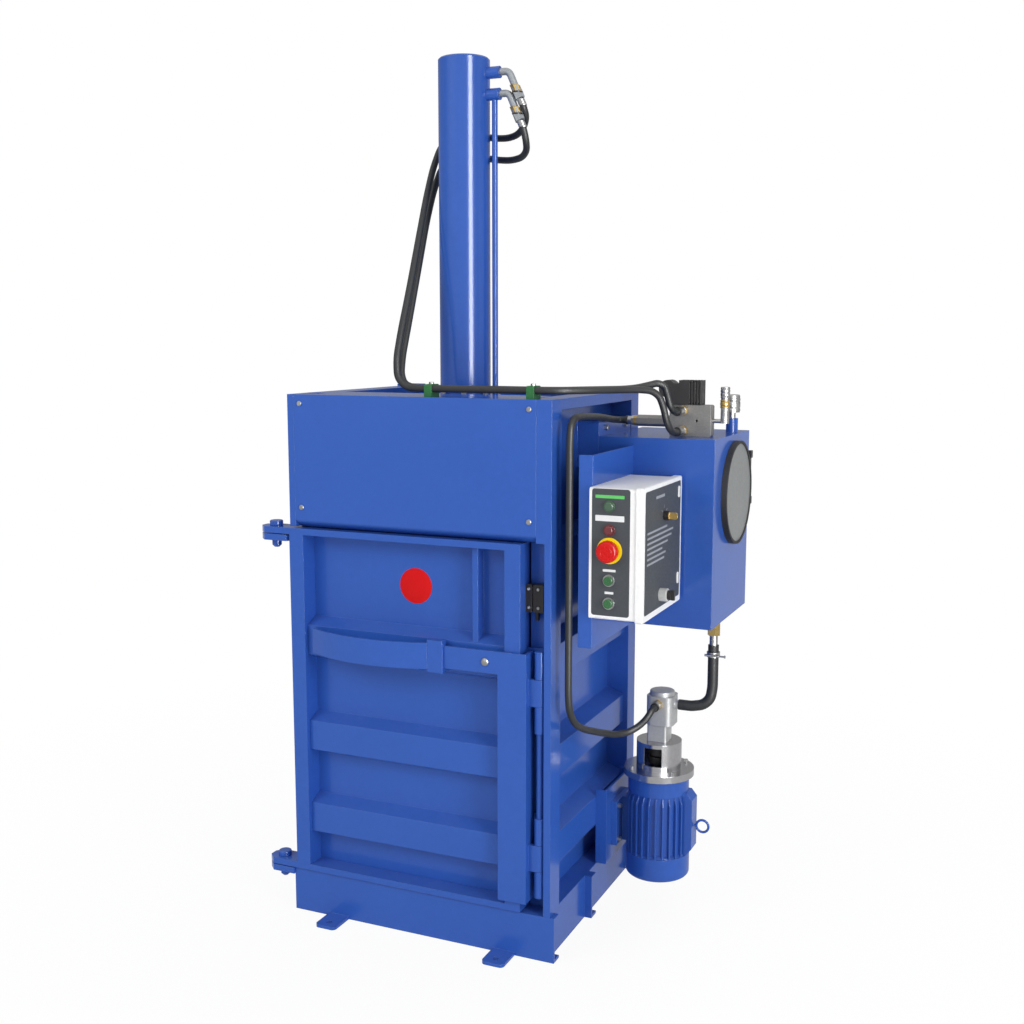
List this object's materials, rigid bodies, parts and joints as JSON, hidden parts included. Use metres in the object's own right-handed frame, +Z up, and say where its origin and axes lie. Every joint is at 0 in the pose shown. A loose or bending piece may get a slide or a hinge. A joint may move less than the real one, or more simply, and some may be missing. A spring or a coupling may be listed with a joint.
{
  "type": "drum press",
  "caption": "Upright hydraulic drum press: ribbed steel chamber with a lever-locked swing door, a tall cylinder driving a platen, and a side power pack with tank, pump and control box.",
  "frame": {"origin": "on the floor at the middle of the rectangle of anchor holes", "axes": "+Z up, +Y to the rear, +X to the operator's right, where the power pack hangs"},
  "size_m": [1.379, 0.942, 2.692],
  "materials": {
    "blue_paint": "gloss enamel",
    "bright_steel": "zinc plated",
    "chrome_rod": "hard chromed and ground",
    "cast_aluminium": "cast and machined",
    "brass_fitting": "turned",
    "hose_rubber": "smooth black",
    "seal_rubber": "matt black",
    "black_plastic": "satin",
    "green_plastic": "moulded",
    "cover_plate": "plain sheet",
    "box_paint": "off-white powder coat",
    "button_green": "moulded",
    "button_red": "moulded",
    "collar_yellow": "moulded",
    "lamp_lens": "translucent moulding"
  },
  "bodies": {
    "frame": {"base_frame": "blue_paint", "floor_plate": "blue_paint", "left_wall": "blue_paint", "right_wall": "blue_paint", "rear_wall": "blue_paint", "front_left_post": "blue_paint", "front_right_post": "blue_paint", "header_rails": "blue_paint", "front_cover": "blue_paint", "frame_lugs": "blue_paint", "hinge_pins": "blue_paint", "interlock_switch": "black_plastic", "cylinder_mount": "blue_paint", "cylinder_barrel": "blue_paint", "cylinder_gland": "bright_steel", "return_pipe": "blue_paint", "hose_fittings": "bright_steel", "cap_hose": "hose_rubber", "rod_hose": "hose_rubber", "hose_clips": "green_plastic", "oil_tank": "blue_paint", "manhole_seal": "seal_rubber", "manhole_cover": "cover_plate", "level_gauge": "black_plastic", "breather": "bright_steel", "manifold": "cast_aluminium", "solenoid_valve": "black_plastic", "line_filter": "bright_steel", "suction_fitting": "brass_fitting", "suction_hose": "hose_rubber", "pressure_hose": "hose_rubber", "control_bracket": "blue_paint", "control_box": "box_paint", "control_lid": "box_paint", "indicator_lamps": "lamp_lens", "estop_collar": "collar_yellow", "device_rings": "black_plastic", "motor_bracket": "blue_paint", "motor_body": "blue_paint", "fan_cowl": "blue_paint", "bellhousing": "cast_aluminium", "gear_pump": "cast_aluminium", "frame_bolts": "bright_steel"},
    "door": {"door_frame": "blue_paint", "door_panel": "blue_paint", "interlock_actuator": "black_plastic", "lock_hinge_leaves": "blue_paint", "lock_hinge_pin": "blue_paint"},
    "lever": {"lock_lever": "blue_paint", "lever_strap": "blue_paint", "lever_grip": "blue_paint"},
    "ram": {"piston": "bright_steel", "ram_rod": "chrome_rod", "platen": "blue_paint"},
    "drive": {"coupling": "cast_aluminium"},
    "emergency_stop": {"estop_button": "button_red"},
    "up_control": {"up_button": "button_green"},
    "down_control": {"down_button": "button_green"},
    "key_switch": {"selector_key": "bright_steel"},
    "isolator": {"isolator_knob": "black_plastic"}
  },
  "joints": [
    {"name": "door_swing", "type": "hinge", "parent": "frame", "child": "door", "pos_m": [-0.51, -0.355, 0.7], "axis": [0, 0, -1], "range_deg": [0, 110]},
    {"name": "lock_swing", "type": "hinge", "parent": "door", "child": "lever", "pos_m": [0.399, -0.365, 0.57], "axis": [0, 0, 1], "range_deg": [0, 95]},
    {"name": "ram_slide", "type": "slide", "parent": "frame", "child": "ram", "axis": [0, 0, -1], "range_m": [0, 1]},
    {"name": "drive_spin", "type": "hinge", "parent": "frame", "child": "drive", "pos_m": [0.6, 0.163, 0.5], "axis": [0, 0, 1], "continuous": true},
    {"name": "estop_press", "type": "slide", "parent": "frame", "child": "emergency_stop", "axis": [0, 1, 0], "range_m": [0, 0.006], "stiffness_N_per_m": 2000},
    {"name": "up_press", "type": "slide", "parent": "frame", "child": "up_control", "axis": [0, 1, 0], "range_m": [0, 0.005], "stiffness_N_per_m": 1000},
    {"name": "down_press", "type": "slide", "parent": "frame", "child": "down_control", "axis": [0, 1, 0], "range_m": [0, 0.005], "stiffness_N_per_m": 1000},
    {"name": "key_turn", "type": "hinge", "parent": "frame", "child": "key_switch", "pos_m": [0.713, -0.196, 1.338], "axis": [1, 0, 0], "range_deg": [0, 90]},
    {"name": "isolator_turn", "type": "hinge", "parent": "frame", "child": "isolator", "pos_m": [0.713, -0.224, 1.112], "axis": [1, 0, 0], "range_deg": [0, 90]}
  ]
}
